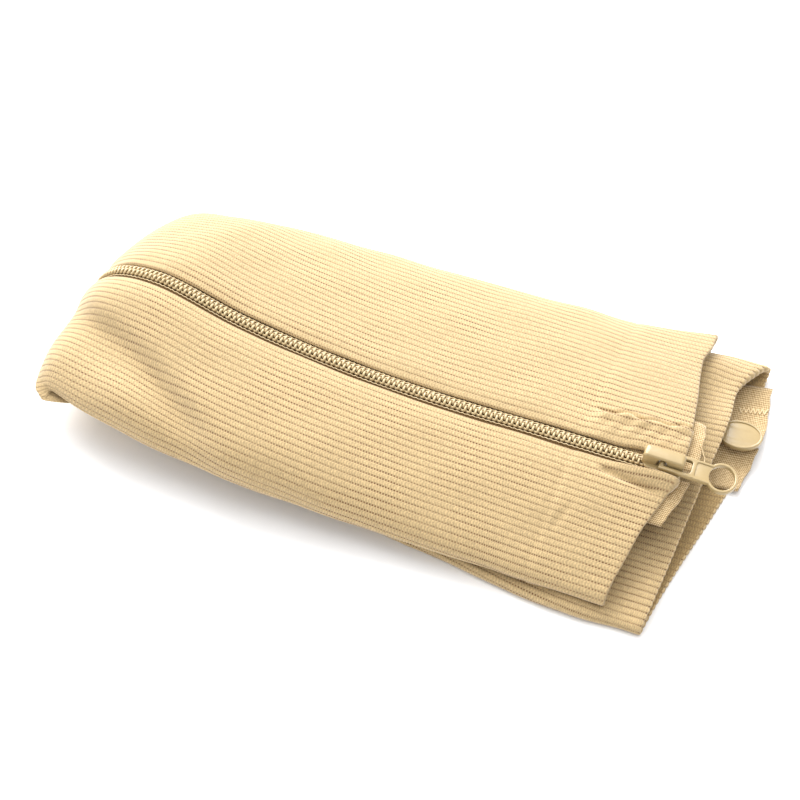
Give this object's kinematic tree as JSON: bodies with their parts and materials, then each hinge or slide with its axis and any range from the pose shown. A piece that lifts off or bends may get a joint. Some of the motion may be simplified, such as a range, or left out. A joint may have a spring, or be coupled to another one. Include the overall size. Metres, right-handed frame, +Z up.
{
  "type": "zipper compression sock",
  "caption": "Rib-knit compression sock folded in half and lying flat, with a full-length coil zipper, a slider with a ring pull and a slider with an oval pull.",
  "frame": {"origin": "middle of the footprint, on the table", "axes": "+X along the sock toward its two mouths, +Y toward the back crease, +Z up"},
  "size_m": [0.231, 0.1246, 0.0368],
  "materials": {
    "rib_knit": "rib-knit elastic cloth, matte beige",
    "woven_tape": "plain woven zipper tape, matte",
    "nylon_coil": "dyed nylon coil, satin",
    "enamelled_metal": "die-cast zinc under beige enamel"
  },
  "bodies": {
    "sock": {"knit_leg": "rib_knit", "zipper_tape_front": "woven_tape", "zipper_tape_back": "woven_tape", "zipper_coil_front": "nylon_coil", "zipper_coil_back": "nylon_coil", "slider_body": "enamelled_metal", "lower_slider_body": "enamelled_metal"},
    "upper_pull": {"slider_pull": "enamelled_metal"},
    "lower_pull": {"lower_slider_pull": "enamelled_metal"}
  },
  "joints": [
    {"name": "upper_pull_hinge", "type": "hinge", "parent": "sock", "child": "upper_pull", "pos_m": [0.08927, -0.01076, 0.02468], "axis": [0.0712, -0.9972, -0.0243], "range_deg": [0, 150]},
    {"name": "lower_pull_hinge", "type": "hinge", "parent": "sock", "child": "lower_pull", "pos_m": [0.08911, 0.02204, 0.00712], "axis": [0.1276, -0.9918, -0.0018], "range_deg": [0, 8]}
  ]
}
